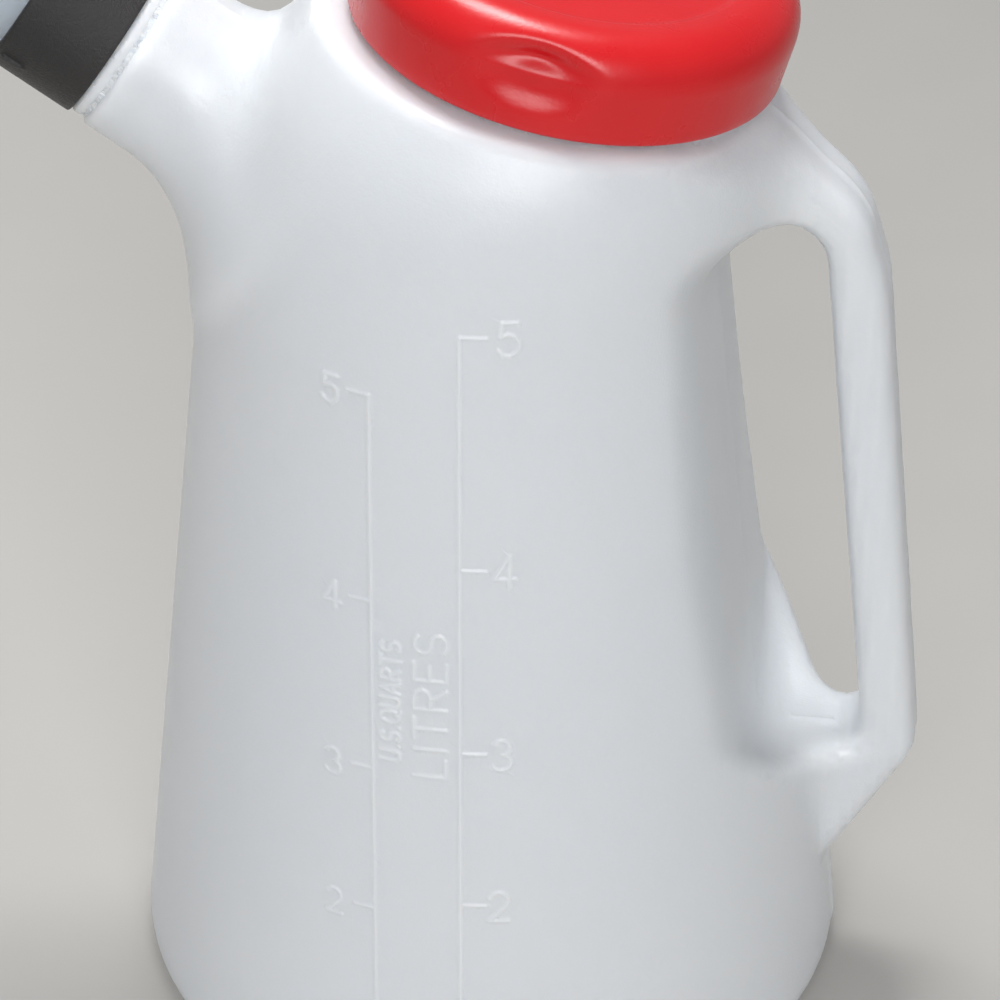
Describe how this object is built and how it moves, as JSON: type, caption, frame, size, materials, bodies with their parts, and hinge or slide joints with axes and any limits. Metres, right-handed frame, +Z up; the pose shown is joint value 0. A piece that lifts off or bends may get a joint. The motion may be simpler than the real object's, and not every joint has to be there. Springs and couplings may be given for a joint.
{
  "type": "lidded measuring jug",
  "caption": "Graduated fluid measuring jug: tapered hollow body with side handle, wide screw lid and a screwed-on flexible pouring spout.",
  "frame": {"origin": "centre of the base, on the surface the jug stands on", "axes": "+Z up, +X towards the handle, the spout towards -X; the XZ plane is the jug's plane of symmetry"},
  "size_m": [0.3562, 0.1932, 0.3807],
  "materials": {
    "natural_polyethylene": "translucent natural polyethylene, satin",
    "red_polyethylene": "soft gloss red polyethylene",
    "seal_foam": "closed-cell foam liner",
    "black_polypropylene": "fine spark-textured black",
    "gasket_rubber": "black nitrile rubber",
    "clear_vinyl": "bluish translucent flexible vinyl"
  },
  "bodies": {
    "jug": {"jug_body": "natural_polyethylene"},
    "seal": {"lid_seal": "seal_foam"},
    "lid": {"lid": "red_polyethylene"},
    "gasket": {"spout_gasket": "gasket_rubber"},
    "nut": {"spout_nut": "black_polypropylene"},
    "spout": {"spout_base": "clear_vinyl", "flex_hose": "clear_vinyl"},
    "nozzle": {"spout_nozzle": "clear_vinyl"},
    "cap": {"spout_cap": "red_polyethylene"}
  },
  "joints": [
    {"name": "lid_rise", "type": "slide", "parent": "jug", "child": "seal", "axis": [0.1908, 0, 0.9816], "range_m": [0, 0.0301]},
    {"name": "lid_turn", "type": "hinge", "parent": "seal", "child": "lid", "pos_m": [0.0187, 0, 0.2826], "axis": [0.1908, 0, 0.9816], "range_deg": [0, 900]},
    {"name": "spout_draw", "type": "slide", "parent": "jug", "child": "gasket", "axis": [-0.8231, 0, 0.5678], "range_m": [0, 0.0226]},
    {"name": "nut_turn", "type": "hinge", "parent": "gasket", "child": "nut", "pos_m": [-0.0879, 0, 0.2713], "axis": [-0.8231, 0, 0.5678], "range_deg": [0, 1620]},
    {"name": "spout_swivel", "type": "hinge", "parent": "gasket", "child": "spout", "pos_m": [-0.10766, 0, 0.28493], "axis": [-0.8231, 0, 0.5678], "range_deg": [-180, 180]},
    {"name": "spout_bend", "type": "hinge", "parent": "spout", "child": "nozzle", "pos_m": [-0.16388, 0, 0.32371], "axis": [0, 1, 0], "range_deg": [-75, 60], "deforming": ["flex_hose"]},
    {"name": "cap_pull", "type": "slide", "parent": "nozzle", "child": "cap", "axis": [-0.8231, 0, 0.5678], "range_m": [0, 0.03]}
  ],
  "couplings": [
    {"joint": "lid_rise", "follows": "lid_turn", "m_per_rad": 0.0019099},
    {"joint": "spout_draw", "follows": "nut_turn", "m_per_rad": 0.00079577}
  ]
}
